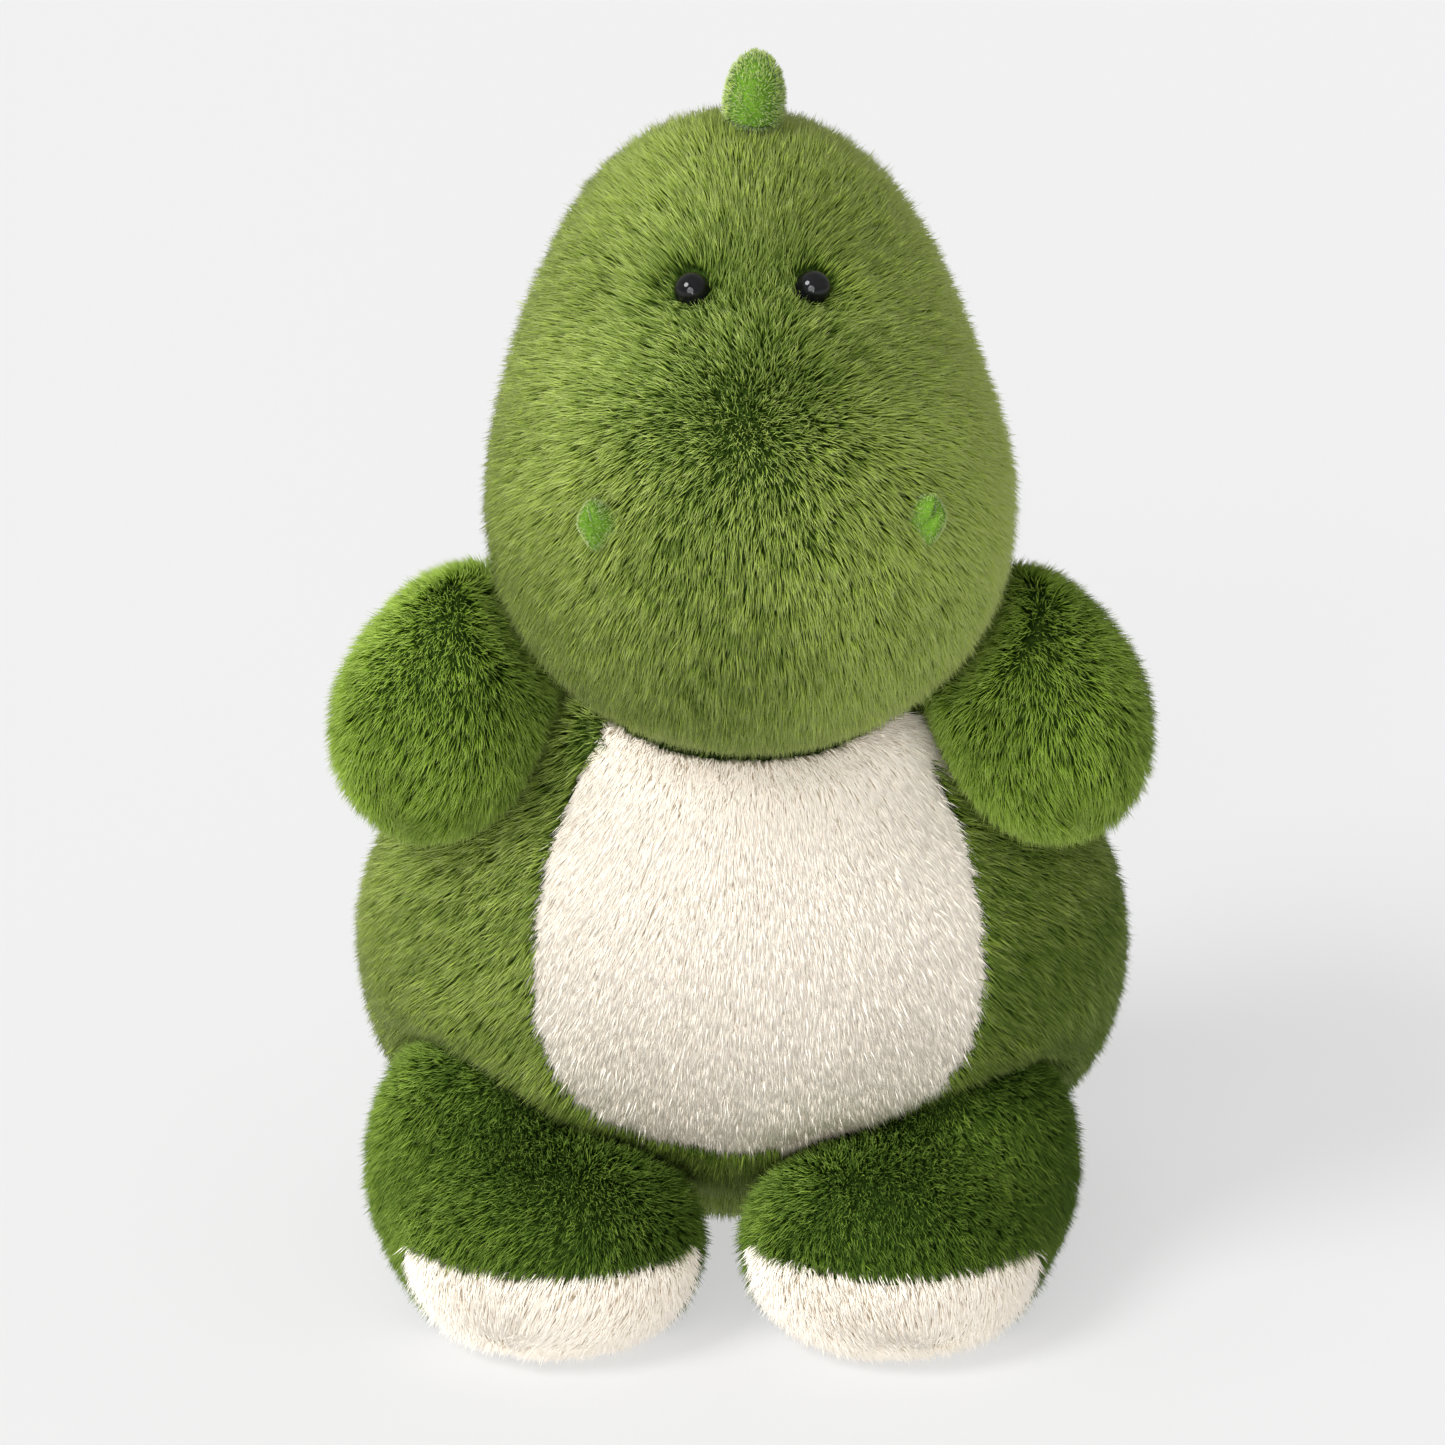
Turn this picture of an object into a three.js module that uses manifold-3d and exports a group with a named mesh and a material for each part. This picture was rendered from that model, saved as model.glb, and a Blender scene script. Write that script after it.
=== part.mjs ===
// A seated plush dinosaur, 384 mm tall. It faces -Y, +X is its left side and +Z is up.
// The origin is on the surface it sits on, at the middle of its box. Millimetres and degrees.
import * as THREE from 'three';
import { mergeVertices } from 'three/addons/utils/BufferGeometryUtils.js';
import Module from 'manifold-3d';

const wasm = await Module();
wasm.setup();

// ---------------------------------------------------------------- driving dimensions

const PILE = 7;              // thickness of the plush cloth, backing and pile together
const GAP = 0.4;             // clearance between two pieces that touch
const SWEEP_GAP = 1.8;       // clearance round a piece that moves
const TOY_Y = -27.6;          // the body's centre, from the middle of the box

// The rounded masses that each stuffed piece is shaped from: centre and half axes.
const BODY = {
  pivot: [0, 2, 100],
  blend: 30,
  masses: [
    { at: [0, -4, 102], half: [119, 87, 84] },
    { at: [0, 32, 64], half: [118, 64, 68] },
    { at: [0, 6, 168], half: [80, 66, 60] },
  ],
};
const HEAD = {
  pivot: [1, -12, 228],
  blend: 26,
  masses: [
    { at: [0, 12, 293], half: [60, 62, 65] },
    { at: [0, -12, 270], half: [66, 60, 58] },
    { at: [0, -44, 248], half: [78, 81, 68] },
  ],
  restTurn: 3,
  turn: 12,
  nodDown: 6,
  nodUp: 8,
};
const ARM = {
  pivot: [76, -4, 190],
  blend: 16,
  masses: [
    { at: [75, -4, 190], half: [26, 26, 28] },
    { at: [85, -30, 190], half: [27, 33, 36] },
    { at: [95, -44, 179], half: [29, 34, 33] },
  ],
  swing: 35,
};
const LEG = {
  pivot: [66, -36, 32],
  blend: 14,
  masses: [
    { at: [74, -32, 34], half: [36, 46, 46] },
    { at: [51, -73, 24], half: [47, 52, 35] },
  ],
  shift: -6,
  splay: 20,
};
const TAIL = {
  pivot: [0, 84, 40],
  core: [0, 108, 36],
  blend: 20,
  masses: [
    { at: [0, 84, 42], half: [44, 34, 44] },
    { at: [0, 108, 34], half: [33, 40, 35] },
    { at: [0, 144, 30], half: [19, 36, 20] },
  ],
  wag: 18,
};

const BELLY = { x: 5, width: 140, bottom: 47, top: 212 };
const TOE_CAP = { top: 26, back: -80, tilt: -11 };
const EYE = { x: 18.2, z: 321.8, radius: 6, height: 4.5, stemRadius: 2, stem: 15 };
const WASHER = { radius: 5.5, thickness: 2.5, at: 11.5 };
const NOSTRIL = { x: 47.5, z: 266, half: [6, 6, 9.5], lean: -20 };
const NECK = { ballRadius: 26, stemRadius: 17, foot: 160, channelRadius: 30 };
const BEAN_BAG = { at: [0, 22, 28], half: [48, 34, 20] };
const SPINE_HALF = [10.5, 15, 18];
const SPINE_STAND = 0.2;     // how far a spine's middle stands off the cloth, as part of its half height
const HEAD_SPINES = [
  { name: 'crown_spine', lean: 9, aside: 1.5, size: 0.92 },
  { name: 'head_spine_middle', lean: 37, aside: 3, size: 0.95 },
  { name: 'head_spine_rear', lean: 66, aside: 2, size: 1 },
];
const BACK_SPINES = [
  { name: 'back_spine_upper', lean: 48, size: 1 },
  { name: 'back_spine_middle', lean: 70, size: 1.05 },
  { name: 'back_spine_lower', lean: 92, size: 1 },
];
const TAIL_SPINES = [
  { name: 'tail_spine_root', lean: 56, size: 0.8 },
  { name: 'tail_spine_middle', lean: 77, size: 0.7 },
  { name: 'tail_spine_tip', lean: 87, size: 0.6 },
];

// How finely each piece is faceted: the cloth's outside, and its inside with the filling.
const FINE = { body: 5, head: 5, limb: 4 };
const COARSE = { body: 3, head: 3, limb: 2 };
const SWEEP = { head: 4, limb: 4 };

// ---------------------------------------------------------------- materials

const paint = (color, roughness) => new THREE.MeshStandardMaterial({ color, roughness, metalness: 0 });
const greenPlush = paint(0x6f9a3a, 0.95);
const deepGreenPlush = paint(0x4f8a32, 0.95);
const creamPlush = paint(0xf0e8de, 0.95);
const limePlush = paint(0x63b343, 0.9);
const fibreFill = paint(0xf4f3ee, 1);
const beanCloth = paint(0xb9b3a6, 0.9);
const blackEye = paint(0x0c0b0a, 0.12);
const clearPlastic = paint(0xdedede, 0.5);

// ---------------------------------------------------------------- solids and booleans

const UP = new THREE.Vector3(0, 0, 1);
const ACROSS = new THREE.Vector3(1, 0, 0);
const radians = THREE.MathUtils.degToRad;
const turnAbout = (axis, degrees) => new THREE.Quaternion().setFromAxisAngle(axis, radians(degrees));

function toSolid(geometry) {
  const bare = geometry.index ? geometry.clone() : geometry;
  bare.deleteAttribute('normal');
  bare.deleteAttribute('uv');
  const merged = mergeVertices(bare, 1e-4);
  return new wasm.Manifold(new wasm.Mesh({
    numProp: 3,
    vertProperties: new Float32Array(merged.attributes.position.array),
    triVerts: new Uint32Array(merged.index.array),
  }));
}

function toGeometry(solid) {
  const mesh = solid.getMesh();
  const geometry = new THREE.BufferGeometry();
  geometry.setAttribute('position', new THREE.BufferAttribute(mesh.vertProperties, 3));
  geometry.setIndex(new THREE.BufferAttribute(mesh.triVerts, 1));
  geometry.computeVertexNormals();
  return geometry;
}

const cut = (solid, ...tools) => tools.reduce((rest, tool) => rest.subtract(tool), solid);

// The main body of a solid, without the crumbs that crossing cuts leave beside it.
function mainBody(solid) {
  const bodies = solid.decompose();
  return bodies.reduce((largest, next) => (next.volume() > largest.volume() ? next : largest));
}

// Turns a solid's own +Z to a direction and moves it to a point.
function stand(geometry, point, direction) {
  geometry.applyQuaternion(new THREE.Quaternion().setFromUnitVectors(UP, direction));
  geometry.translate(point.x, point.y, point.z);
  return geometry;
}

// ---------------------------------------------------------------- rounded masses

// Distance to an ellipsoid, close enough near its surface.
function massDistance(point, mass) {
  const [x, y, z] = point.map((value, axis) => value - mass.at[axis]);
  const [a, b, c] = mass.half;
  const scaled = Math.hypot(x / a, y / b, z / c);
  const slope = Math.hypot(x / (a * a), y / (b * b), z / (c * c));
  return slope > 0 ? scaled * (scaled - 1) / slope : -Math.min(a, b, c);
}

// Distance to all of a piece's masses, which flow together over its blend radius.
function pieceDistance(point, piece) {
  let distance = massDistance(point, piece.masses[0]);
  for (const mass of piece.masses.slice(1)) {
    const other = massDistance(point, mass);
    const near = Math.max(piece.blend - Math.abs(distance - other), 0) / piece.blend;
    distance = Math.min(distance, other) - near * near * piece.blend / 4;
  }
  return distance;
}

// How far the piece's surface, moved inwards by inset, lies from a point inside it along a direction.
function reach(piece, direction, inset, from = piece.pivot) {
  const pointAt = (length) => from.map((value, axis) => value + direction.getComponent(axis) * length);
  const isOutside = (length) => pieceDistance(pointAt(length), piece) > -inset;
  let outer = 240;
  while (outer > 3 && isOutside(outer - 3)) {
    outer -= 3;
  }
  let inner = outer - 3;
  for (let step = 0; step < 12; step += 1) {
    const middle = (inner + outer) / 2;
    if (isOutside(middle)) {
      outer = middle;
    } else {
      inner = middle;
    }
  }
  return outer;
}

// A closed surface round the pivot, as far out as reachAlong says in each direction.
function surfaceRound(pivot, detail, reachAlong) {
  const geometry = new THREE.IcosahedronGeometry(1, detail);
  geometry.deleteAttribute('normal');
  geometry.deleteAttribute('uv');
  const merged = mergeVertices(geometry, 1e-4);
  const points = merged.attributes.position;
  const direction = new THREE.Vector3();
  for (let i = 0; i < points.count; i += 1) {
    direction.fromBufferAttribute(points, i).normalize();
    direction.multiplyScalar(reachAlong(direction));
    points.setXYZ(i, direction.x + pivot[0], direction.y + pivot[1], direction.z + pivot[2]);
  }
  return merged;
}

function rounded(piece, detail, inset = 0) {
  const rest = piece.rest.clone().invert();
  const core = piece.core ?? piece.pivot;
  const reachAlong = (direction) => reach(piece, direction.clone().applyQuaternion(rest), inset, core);
  return toSolid(surfaceRound(core, detail, reachAlong));
}

// The space that a piece takes up while it turns about its pivot through all its poses.
function sweptSpace(piece, detail) {
  const inverses = piece.poses.map((pose) => pose.clone().multiply(piece.rest).invert());
  return surfaceRound(piece.pivot, detail, (direction) => SWEEP_GAP
    + Math.max(...inverses.map((inverse) => reach(piece, direction.clone().applyQuaternion(inverse), 0))));
}

// ---------------------------------------------------------------- the pieces' own frames and poses

function spread(low, high, count) {
  return Array.from({ length: count }, (_, i) => low + (high - low) * i / (count - 1));
}

function withPoses(piece, poses) {
  return { ...piece, rest: turnAbout(UP, piece.restTurn ?? 0), poses };
}

function toSide(piece, side, shift = 0) {
  const flip = ([x, y, z]) => [x * side + shift, y, z];
  const masses = piece.masses.map((mass) => ({ at: flip(mass.at), half: mass.half }));
  return { ...piece, pivot: flip(piece.pivot), masses };
}

function atPivot(piece) {
  const masses = piece.masses.map((mass) => ({
    at: [mass.at[0] + piece.pivot[0], mass.at[1], mass.at[2]],
    half: mass.half,
  }));
  return { ...piece, masses };
}

const headPoses = [];
for (const turn of spread(-HEAD.turn, HEAD.turn, 5)) {
  for (const nod of spread(-HEAD.nodDown, HEAD.nodUp, 3)) {
    // A nod is positive when the face goes up, which is a turn about -X.
    headPoses.push(turnAbout(UP, turn).multiply(turnAbout(ACROSS, -nod)));
  }
}
const SIDES = { left: 1, right: -1 };
const body = withPoses(BODY, []);
const head = withPoses(atPivot(HEAD), headPoses);
const tail = withPoses(TAIL, spread(-TAIL.wag, TAIL.wag, 5).map((angle) => turnAbout(UP, angle)));
const arms = {};
const legs = {};
for (const [name, side] of Object.entries(SIDES)) {
  const armTurns = spread(0, ARM.swing * side, 5).map((angle) => turnAbout(UP, angle));
  const legTurns = spread(0, LEG.splay * side, 4).map((angle) => turnAbout(UP, angle));
  arms[name] = withPoses(toSide(ARM, side), armTurns);
  legs[name] = withPoses(toSide(LEG, side, LEG.shift), legTurns);
}

const headSweepShape = sweptSpace(head, SWEEP.head);
const headSweep = toSolid(headSweepShape);
const armSweeps = Object.values(arms).map((arm) => toSolid(sweptSpace(arm, SWEEP.limb)));
const legSweeps = Object.values(legs).map((leg) => toSolid(sweptSpace(leg, SWEEP.limb)));
const tailSweep = toSolid(sweptSpace(tail, SWEEP.limb));

// Where the head's swept space lies, seen from a piece, in the piece's first, middle and last pose.
function headSweepFrom(piece) {
  const { poses, pivot } = piece;
  return [poses[0], poses[Math.floor(poses.length / 2)], poses[poses.length - 1]].map((pose) => {
    const seen = headSweepShape.clone().translate(...pivot.map((value) => -value));
    return toSolid(seen.applyQuaternion(pose.clone().invert()).translate(...pivot));
  });
}

// Everything below the surface that the toy sits on.
const underFloor = toSolid(new THREE.BoxGeometry(800, 800, 200).translate(0, 0, -100));

// ---------------------------------------------------------------- cloth and filling

function clothAndFilling(piece, fine, coarse) {
  const outside = cut(rounded(piece, fine), underFloor);
  const underCloth = toSolid(new THREE.BoxGeometry(800, 800, 200).translate(0, 0, PILE - 100));
  const underFilling = toSolid(new THREE.BoxGeometry(800, 800, 200).translate(0, 0, PILE + GAP - 100));
  const inside = cut(rounded(piece, coarse, PILE), underCloth);
  const filling = cut(rounded(piece, coarse, PILE + GAP * 2), underFilling);
  return { cloth: outside.subtract(inside), filling };
}

// The hole by which a limb is stuffed, on the side where it is sewn to the body.
function stuffingHole(piece, direction, radius) {
  const length = 90;
  const geometry = new THREE.CylinderGeometry(radius, radius, length, 16).rotateX(Math.PI / 2);
  geometry.translate(0, 0, length / 2);
  return toSolid(stand(geometry, new THREE.Vector3(...piece.pivot), direction.clone().normalize()));
}

// ---------------------------------------------------------------- scene graph helpers

const toy = new THREE.Group();
toy.position.set(0, TOY_Y, 0);

// A group at a piece's pivot, for solids that are made in the toy's own frame.
function pivotGroup(piece) {
  const group = new THREE.Group();
  group.position.set(...piece.pivot);
  toy.add(group);
  return (name, solid, material) => {
    const geometry = toGeometry(solid).translate(...piece.pivot.map((value) => -value));
    const mesh = new THREE.Mesh(geometry, material);
    mesh.name = name;
    group.add(mesh);
  };
}

// ---------------------------------------------------------------- spines

// The way the piece's surface faces at a point.
function outward(piece, point) {
  const at = point.toArray();
  const slope = at.map((value, axis) => {
    const ahead = at.with(axis, value + 1);
    const behind = at.with(axis, value - 1);
    return pieceDistance(ahead, piece) - pieceDistance(behind, piece);
  });
  return new THREE.Vector3(...slope).normalize();
}

// A padded spine that stands on a piece's back, where a line that leans back by spine.lean meets it.
function spineOn(piece, spine, buried) {
  const lean = radians(spine.lean);
  const aside = radians(spine.aside ?? 0);
  const local = new THREE.Vector3(Math.sin(aside), Math.sin(lean), Math.cos(lean)).normalize();
  const pivot = new THREE.Vector3(...piece.pivot);
  const fromPivot = local.clone().multiplyScalar(reach(piece, local, 0));
  const direction = outward(piece, pivot.clone().add(fromPivot)).applyQuaternion(piece.rest);
  const root = fromPivot.applyQuaternion(piece.rest).add(pivot);
  const half = SPINE_HALF.map((value) => value * spine.size);
  const pod = new THREE.SphereGeometry(1, 10, 7).rotateX(Math.PI / 2);
  pod.scale(...half);
  pod.translate(0, 0, half[2] * SPINE_STAND);
  return cut(toSolid(stand(pod, root, direction)), buried);
}

// ---------------------------------------------------------------- head

const headParts = clothAndFilling(head, FINE.head, COARSE.head);
const neckPoint = new THREE.Vector3(...HEAD.pivot);
const headPoint = (x, y, z) => new THREE.Vector3(x, y, z).sub(new THREE.Vector3(0, ...HEAD.pivot.slice(1)))
  .applyQuaternion(head.rest).add(neckPoint);
const headTurn = (x, y, z) => new THREE.Vector3(x, y, z).normalize().applyQuaternion(head.rest);

// The neck is a firm wad of fibre: a ball at the turning point and a stem down into the body.
function neckProfile(grow) {
  const ball = NECK.ballRadius + grow;
  const stem = NECK.stemRadius + grow;
  const meet = Math.asin(stem / ball);
  const bottom = NECK.foot - HEAD.pivot[2] - grow;
  const outline = [new THREE.Vector2(0, bottom), new THREE.Vector2(stem, bottom)];
  for (const angle of spread(Math.PI - meet, 0, 7)) {
    outline.push(new THREE.Vector2(Math.sin(angle) * ball, Math.cos(angle) * ball));
  }
  outline[outline.length - 1].x = 0;
  return new THREE.LatheGeometry(outline, 16).rotateX(Math.PI / 2);
}
const neckWad = toSolid(neckProfile(0).translate(...HEAD.pivot));
const neckSeat = toSolid(neckProfile(GAP).translate(...HEAD.pivot));
const neckBallSpace = toSolid(new THREE.SphereGeometry(NECK.ballRadius + SWEEP_GAP, 16, 10)
  .rotateX(Math.PI / 2).translate(...HEAD.pivot));
const neckChannel = toSolid(new THREE.CylinderGeometry(NECK.channelRadius, NECK.channelRadius, 100, 16)
  .rotateX(Math.PI / 2).translate(HEAD.pivot[0], HEAD.pivot[1], HEAD.pivot[2] - 50));

// Surface point of the head at a given side distance and height, looking from the front.
function facePoint(x, z) {
  let y = -160;
  while (pieceDistance([HEAD.pivot[0] + x, y, z], head) > 0) {
    y += 0.5;
  }
  return headPoint(x, y, z);
}

// A safety eye: a bead with a stem, and the toothed washer that locks it behind the cloth.
function eyeProfile(grow) {
  const radius = EYE.radius + grow;
  const dome = spread(0, Math.PI / 2, 6).map((angle) => new THREE.Vector2(
    Math.cos(angle) * radius,
    Math.sin(angle) * (EYE.height + grow),
  ));
  dome[dome.length - 1].x = 0;
  const stem = EYE.stemRadius + grow;
  const end = -EYE.stem - grow;
  const back = [
    new THREE.Vector2(0, end),
    new THREE.Vector2(stem, end),
    new THREE.Vector2(stem, -1.5 - grow),
    new THREE.Vector2(radius, -1.5 - grow),
  ];
  return new THREE.LatheGeometry([...back, ...dome], 14).rotateX(Math.PI / 2);
}

function washerProfile(grow) {
  const inner = EYE.stemRadius + (grow > 0 ? -0.5 : GAP);
  const top = -WASHER.at + grow;
  const bottom = -WASHER.at - WASHER.thickness - grow;
  const outer = WASHER.radius + grow;
  const outline = [[inner, bottom], [outer, bottom], [outer, top], [inner, top]];
  const ring = [...outline, outline[0]].map(([r, z]) => new THREE.Vector2(r, z));
  return new THREE.LatheGeometry(ring, 14).rotateX(Math.PI / 2);
}

const addToHead = pivotGroup(head);
const headCutters = [neckBallSpace, neckChannel];
for (const [name, side] of Object.entries(SIDES)) {
  const seat = facePoint(EYE.x * side, EYE.z);
  const gaze = headTurn(0.22 * side, -1, 0.3);
  addToHead(`${name}_eye`, toSolid(stand(eyeProfile(0), seat, gaze)), blackEye);
  addToHead(`${name}_eye_washer`, toSolid(stand(washerProfile(0), seat, gaze)), clearPlastic);
  headCutters.push(toSolid(stand(eyeProfile(GAP), seat, gaze)));
  headCutters.push(toSolid(stand(washerProfile(GAP), seat, gaze)));
}
const headBuried = rounded(head, FINE.head, -GAP);
for (const [name, side] of Object.entries(SIDES)) {
  const pod = new THREE.SphereGeometry(1, 12, 8).rotateX(Math.PI / 2).scale(...NOSTRIL.half);
  pod.rotateY(radians(-NOSTRIL.lean * side));
  const place = facePoint(NOSTRIL.x * side, NOSTRIL.z);
  pod.translate(place.x, place.y, place.z);
  addToHead(`${name}_nostril`, cut(toSolid(pod), headBuried), limePlush);
}
for (const spine of HEAD_SPINES) {
  addToHead(spine.name, spineOn(head, spine, headBuried), limePlush);
}
addToHead('head_cloth', cut(headParts.cloth, ...headCutters), greenPlush);
addToHead('head_filling', cut(headParts.filling, ...headCutters), fibreFill);
addToHead('neck_wad', neckWad, fibreFill);

// ---------------------------------------------------------------- body

const addToBody = pivotGroup(body);
const bodyParts = clothAndFilling(body, FINE.body, COARSE.body);
const limbSweeps = [headSweep, ...armSweeps, ...legSweeps, tailSweep];

// The egg outline of the cream front panel, as a prism along Y through the front of the body.
function bellyPrism(grow) {
  const half = BELLY.width / 2 + grow;
  const low = BELLY.bottom - grow;
  const wide = BELLY.bottom + (BELLY.top - BELLY.bottom) * 0.4;
  const outline = new THREE.Shape();
  outline.moveTo(0, low);
  outline.bezierCurveTo(half * 0.62, low, half, low + (wide - low) * 0.45, half, wide);
  outline.bezierCurveTo(half, wide + 46, half * 0.62, BELLY.top, 0, BELLY.top);
  outline.bezierCurveTo(-half * 0.62, BELLY.top, -half, wide + 46, -half, wide);
  outline.bezierCurveTo(-half, low + (wide - low) * 0.45, -half * 0.62, low, 0, low);
  const prism = new THREE.ExtrudeGeometry(outline, { depth: 120, bevelEnabled: false, curveSegments: 7 });
  return toSolid(prism.rotateX(Math.PI / 2).translate(BELLY.x, 0, 0));
}

const bodyCloth = cut(bodyParts.cloth, ...limbSweeps);
const bagSpace = new THREE.SphereGeometry(1, 14, 9).rotateX(Math.PI / 2);
const beanBag = bagSpace.clone().scale(...BEAN_BAG.half).translate(...BEAN_BAG.at);
const beanSeatHalf = BEAN_BAG.half.map((value) => value + GAP * 2);
const beanSeat = bagSpace.clone().scale(...beanSeatHalf).translate(...BEAN_BAG.at);
addToBody('body_cloth', mainBody(bodyCloth.subtract(bellyPrism(GAP / 2))), greenPlush);
addToBody('belly_panel', bodyCloth.intersect(bellyPrism(-GAP / 2)), creamPlush);
addToBody('body_filling', cut(bodyParts.filling, ...limbSweeps, toSolid(beanSeat), neckSeat), fibreFill);
addToBody('bean_bag', cut(toSolid(beanBag).intersect(bodyParts.filling), ...limbSweeps), beanCloth);
const bodyBuried = rounded(body, FINE.body, -GAP);
for (const spine of BACK_SPINES) {
  addToBody(spine.name, cut(spineOn(body, spine, bodyBuried), tailSweep, headSweep), limePlush);
}

// ---------------------------------------------------------------- arms

for (const [name, side] of Object.entries(SIDES)) {
  const arm = arms[name];
  const add = pivotGroup(arm);
  const parts = clothAndFilling(arm, FINE.limb, COARSE.limb);
  const hole = stuffingHole(arm, new THREE.Vector3(-side, 0.4, -0.3), 11);
  const clearance = headSweepFrom(arm);
  add(`${name}_arm_cloth`, cut(parts.cloth, hole, ...clearance), greenPlush);
  add(`${name}_arm_filling`, cut(parts.filling, ...clearance), fibreFill);
}

// ---------------------------------------------------------------- legs and toe caps

for (const [name, side] of Object.entries(SIDES)) {
  const leg = legs[name];
  const add = pivotGroup(leg);
  const parts = clothAndFilling(leg, FINE.limb, COARSE.limb);
  const hole = stuffingHole(leg, new THREE.Vector3(-side * 0.5, 0.9, 0.5), 13);
  const cloth = parts.cloth.subtract(hole);
  const toeBox = (grow) => {
    const box = new THREE.BoxGeometry(200, 100, 100);
    box.translate(0, -50 + grow, -50 + grow);
    box.rotateX(radians(TOE_CAP.tilt));
    return toSolid(box.translate(leg.pivot[0], TOE_CAP.back, TOE_CAP.top));
  };
  add(`${name}_leg_cloth`, cloth.subtract(toeBox(GAP / 2)), deepGreenPlush);
  add(`${name}_toe_cap`, cloth.intersect(toeBox(-GAP / 2)), creamPlush);
  add(`${name}_leg_filling`, parts.filling, fibreFill);
}

// ---------------------------------------------------------------- tail

const addToTail = pivotGroup(tail);
const tailParts = clothAndFilling(tail, FINE.limb, COARSE.limb);
const tailHole = stuffingHole(tail, new THREE.Vector3(0, -1, 0.2), 16);
const tailBuried = rounded(tail, FINE.limb, -GAP);
addToTail('tail_cloth', tailParts.cloth.subtract(tailHole), greenPlush);
addToTail('tail_filling', tailParts.filling, fibreFill);
for (const spine of TAIL_SPINES) {
  addToTail(spine.name, spineOn(tail, spine, tailBuried), limePlush);
}

export default toy;
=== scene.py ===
"""A seated plush dinosaur: stuffed skins, long pile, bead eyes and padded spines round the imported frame."""
import math

import bmesh
import bpy
import numpy as np
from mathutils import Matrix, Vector, kdtree
from mathutils.bvhtree import BVHTree


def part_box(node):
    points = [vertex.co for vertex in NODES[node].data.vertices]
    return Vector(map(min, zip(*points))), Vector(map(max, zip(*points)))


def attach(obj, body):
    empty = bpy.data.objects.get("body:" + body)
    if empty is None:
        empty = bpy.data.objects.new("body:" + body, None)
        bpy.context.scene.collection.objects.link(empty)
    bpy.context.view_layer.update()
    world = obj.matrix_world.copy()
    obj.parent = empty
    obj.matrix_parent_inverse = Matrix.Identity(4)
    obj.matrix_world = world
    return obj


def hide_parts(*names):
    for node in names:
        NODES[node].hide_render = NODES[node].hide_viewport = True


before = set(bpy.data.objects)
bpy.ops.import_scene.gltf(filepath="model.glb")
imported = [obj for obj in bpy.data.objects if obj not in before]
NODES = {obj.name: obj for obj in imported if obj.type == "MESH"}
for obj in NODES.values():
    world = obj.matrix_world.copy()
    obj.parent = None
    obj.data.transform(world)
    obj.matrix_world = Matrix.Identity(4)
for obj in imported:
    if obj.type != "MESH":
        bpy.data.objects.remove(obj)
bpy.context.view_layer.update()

MM = 0.001
SIDES = {"left": 1.0, "right": -1.0}
UP = np.array([0.0, 0.0, 1.0])

# Camera: a long lens, a little above the toy, straight in front of it.
CAMERA_DISTANCE = 2.0
CAMERA_ELEVATION = math.radians(20)
CAMERA_TARGET = np.array([0.0, -0.0276, 0.180])
FRAME_WIDTH = 0.4437        # what the frame spans at the target's distance
SENSOR = 36.0
FRAME_SHIFT = (-0.0135, -0.0280)

# The paper floor is lit partly from within, so that shadows on it stay faint.
FLOOR_ALBEDO = 0.26
FLOOR_GLOW = 0.555
FLOOR_HALF = 9.0            # half the floor's width

# The room's light, in how bright it is on the toy, and as the camera sees it.
ROOM_GREY = (0.88, 0.88, 0.88, 1)
ROOM_STRENGTH = 0.55

# Cloth and pile.
PILE_INSET = 4.8 * MM       # how far the woven backing lies inside the CAD surface
SWELL_CAP = 3.0 * MM        # the most that stuffing pushes the backing out
PANEL_REACH = 5.0 * MM      # the farthest that a panel's pile grows from the CAD panel
PRESSURE = 4.0              # of the stuffing, in the cloth simulation
CLOTH_STIFFNESS = 12
CLOTH_FRAMES = 20
SKIN_FLOOR = 1.0 * MM       # the lowest that a skin lies over the floor
PILE_FLOOR = 0.4 * MM       # and the lowest that its pile lies
PIECE_STRANDS = 33000       # the most strands in one mesh of pile
RING_SHARE = 0.42           # how far up a strand its thickest place is
UV_WIDTH = 0.012            # how wide a strand is in its UV map
PILE_LENGTH = 9.6 * MM
NECK_PILE_LENGTH = 3.2 * MM
SPINE_PILE_LENGTH = 2.1 * MM
NOSTRIL_PILE_LENGTH = 1.0 * MM

# Strands to the square centimetre of skin.
STRANDS = {"head": 190, "body": 165, "belly_underpile": 150, "arm": 180, "leg": 180, "tail": 150, "neck": 300,
           "spine": 260, "nostril": 300}


# ---------------------------------------------------------------- camera, floor and light

def look_along(target, distance, elevation):
    """The camera's place and rotation, looking along +Y and down by the elevation."""
    back = np.array([0.0, -math.cos(elevation), math.sin(elevation)])
    place = target + back * distance
    rotation = Vector(-back).to_track_quat("-Z", "Y").to_euler()
    return place, rotation


def make_camera():
    place, rotation = look_along(CAMERA_TARGET, CAMERA_DISTANCE, CAMERA_ELEVATION)
    data = bpy.data.cameras.new("camera")
    data.sensor_width = SENSOR
    data.lens = SENSOR * CAMERA_DISTANCE / FRAME_WIDTH
    data.shift_x, data.shift_y = FRAME_SHIFT
    camera = bpy.data.objects.new("camera", data)
    camera.location = place
    camera.rotation_euler = rotation
    bpy.context.scene.collection.objects.link(camera)
    bpy.context.scene.camera = camera


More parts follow.
